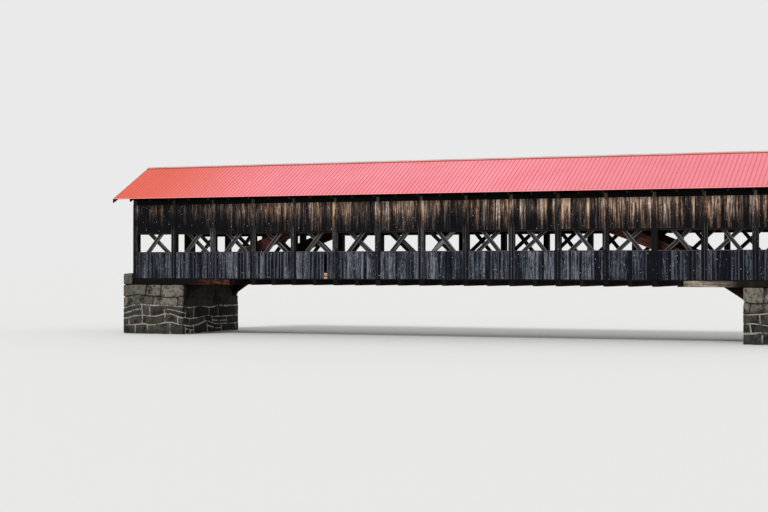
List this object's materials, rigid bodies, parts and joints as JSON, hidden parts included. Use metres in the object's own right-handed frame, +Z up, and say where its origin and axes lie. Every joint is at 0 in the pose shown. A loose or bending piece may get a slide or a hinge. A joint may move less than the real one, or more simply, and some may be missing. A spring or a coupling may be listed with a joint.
{
  "type": "covered timber bridge",
  "caption": "Covered timber road bridge: braced trusses with laminated arches, board siding with a long window band, ribbed metal roof, on two rubble abutments.",
  "frame": {"origin": "on the lowest ground, midway between the abutments and between the sides", "axes": "+X along the bridge to the right as the near side is seen, +Y across it to the far side, +Z up"},
  "size_m": [38.8, 7.8, 9.5203],
  "materials": {
    "abutment_stone": "coursed rubble with pale mortar, matt",
    "bolster_timber_left": "red-brown rough sawn timber",
    "bolster_timber_right": "pale rough sawn timber",
    "portal_boards": "weathered grey vertical boards",
    "frame_timber": "dark rough sawn timber",
    "brace_timber": "weathered grey sawn timber",
    "arch_timber": "red-brown laminated planks",
    "floor_timber": "dark rough sawn timber",
    "deck_planks": "worn planks",
    "roof_timber": "dark unpainted boards",
    "roof_metal": "faded red ribbed sheet",
    "ridge_metal": "pale faded red strip",
    "lower_siding_boards": "weathered blue-grey vertical boards",
    "upper_siding_boards": "weathered brown-black vertical boards",
    "sill_planks": "pale weathered planks",
    "cover_boards": "weathered dark grey boards"
  },
  "bodies": {
    "root": {"abutment_left": "abutment_stone", "abutment_right": "abutment_stone", "bolsters_left": "bolster_timber_left", "bolsters_right": "bolster_timber_right", "portal_jambs_left": "portal_boards", "portal_gable_left": "portal_boards", "portal_jambs_right": "portal_boards", "portal_gable_right": "portal_boards", "lower_chord_near": "frame_timber", "lower_chord_far": "frame_timber", "upper_chord_near": "frame_timber", "upper_chord_far": "frame_timber", "main_braces_near": "brace_timber", "main_braces_far": "brace_timber", "counter_braces_near": "brace_timber", "counter_braces_far": "brace_timber", "posts_near": "frame_timber", "posts_far": "frame_timber", "arch_near": "arch_timber", "arch_far": "arch_timber", "floor_beams": "floor_timber", "stringers": "floor_timber", "deck": "deck_planks", "wheel_guards": "deck_planks", "tie_beams": "frame_timber", "upper_lateral_braces": "frame_timber", "knee_braces": "frame_timber", "wall_plates": "frame_timber", "rafters_near": "roof_timber", "rafters_far": "roof_timber", "roof_boards_near": "roof_timber", "roof_boards_far": "roof_timber", "roofing_near": "roof_metal", "roofing_far": "roof_metal", "ridge_cap": "ridge_metal", "rake_boards_near": "portal_boards", "rake_boards_far": "portal_boards", "lower_siding_near": "lower_siding_boards", "lower_siding_far": "lower_siding_boards", "upper_siding_near": "upper_siding_boards", "upper_siding_far": "upper_siding_boards", "window_girts": "frame_timber", "sill_planks": "sill_planks", "cover_boards_near": "cover_boards", "cover_boards_far": "cover_boards"}
  },
  "joints": []
}
